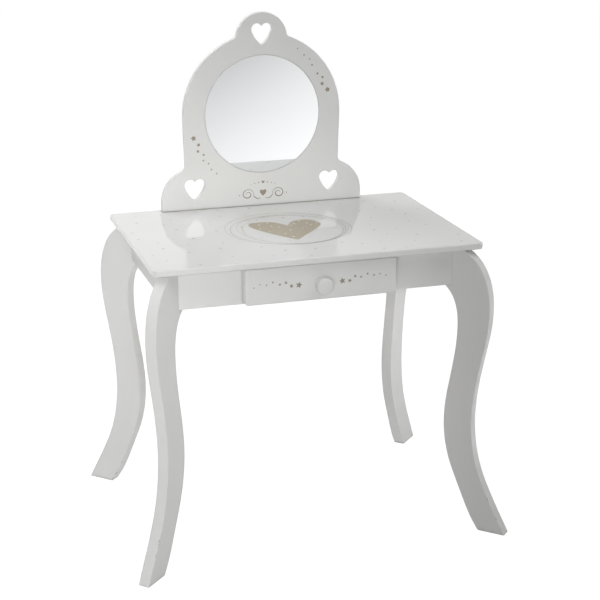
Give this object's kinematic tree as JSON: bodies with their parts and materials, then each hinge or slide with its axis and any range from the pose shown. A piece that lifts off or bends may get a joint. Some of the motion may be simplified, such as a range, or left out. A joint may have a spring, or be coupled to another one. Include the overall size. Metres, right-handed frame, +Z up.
{
  "type": "dressing table",
  "caption": "Child's dressing table: board top on curved diagonal legs, one drawer with a round knob, and a shaped panel with a round mirror and heart cut-outs.",
  "frame": {"origin": "on the floor under the middle of the top", "axes": "+Z up, -Y towards the drawer front, +X to the right of a person facing the mirror"},
  "size_m": [0.7034, 0.5134, 0.9279],
  "materials": {
    "white_lacquer": "white lacquer on fibreboard, glossy on the top and satin elsewhere",
    "silvered_glass": "flat silvered glass",
    "foam_tape": "closed-cell foam with adhesive faces",
    "bare_beech": "plain sanded beech",
    "drawer_board": "matt white melamine on board",
    "zinc_steel": "bright zinc plate",
    "insert_brass": "plain turned"
  },
  "bodies": {
    "table": {"tabletop": "white_lacquer", "mirror_panel": "white_lacquer", "mirror": "silvered_glass", "mirror_pads": "foam_tape", "panel_dowels": "bare_beech", "panel_screws": "zinc_steel", "front_apron": "white_lacquer", "rear_apron": "white_lacquer", "side_apron_left": "white_lacquer", "side_apron_right": "white_lacquer", "leg_front_left": "white_lacquer", "leg_front_right": "white_lacquer", "leg_rear_left": "white_lacquer", "leg_rear_right": "white_lacquer", "corner_block_front_left": "bare_beech", "corner_block_front_right": "bare_beech", "corner_block_rear_left": "bare_beech", "corner_block_rear_right": "bare_beech", "leg_inserts": "insert_brass", "leg_washers": "zinc_steel", "leg_bolts": "zinc_steel", "block_screws": "zinc_steel", "tabletop_brackets": "zinc_steel", "bracket_screws": "zinc_steel", "drawer_bearer_left": "drawer_board", "drawer_bearer_right": "drawer_board", "bearer_dowels": "bare_beech"},
    "drawer": {"drawer_front": "white_lacquer", "drawer_side_left": "drawer_board", "drawer_side_right": "drawer_board", "drawer_back": "drawer_board", "drawer_bottom": "drawer_board", "front_dowels": "bare_beech", "back_screws": "zinc_steel", "drawer_stops": "drawer_board", "stop_screws": "zinc_steel", "knob": "white_lacquer", "knob_screw": "zinc_steel"}
  },
  "joints": [
    {"name": "drawer_slide", "type": "slide", "parent": "table", "child": "drawer", "axis": [0, -1, 0], "range_m": [0, 0.2]}
  ]
}
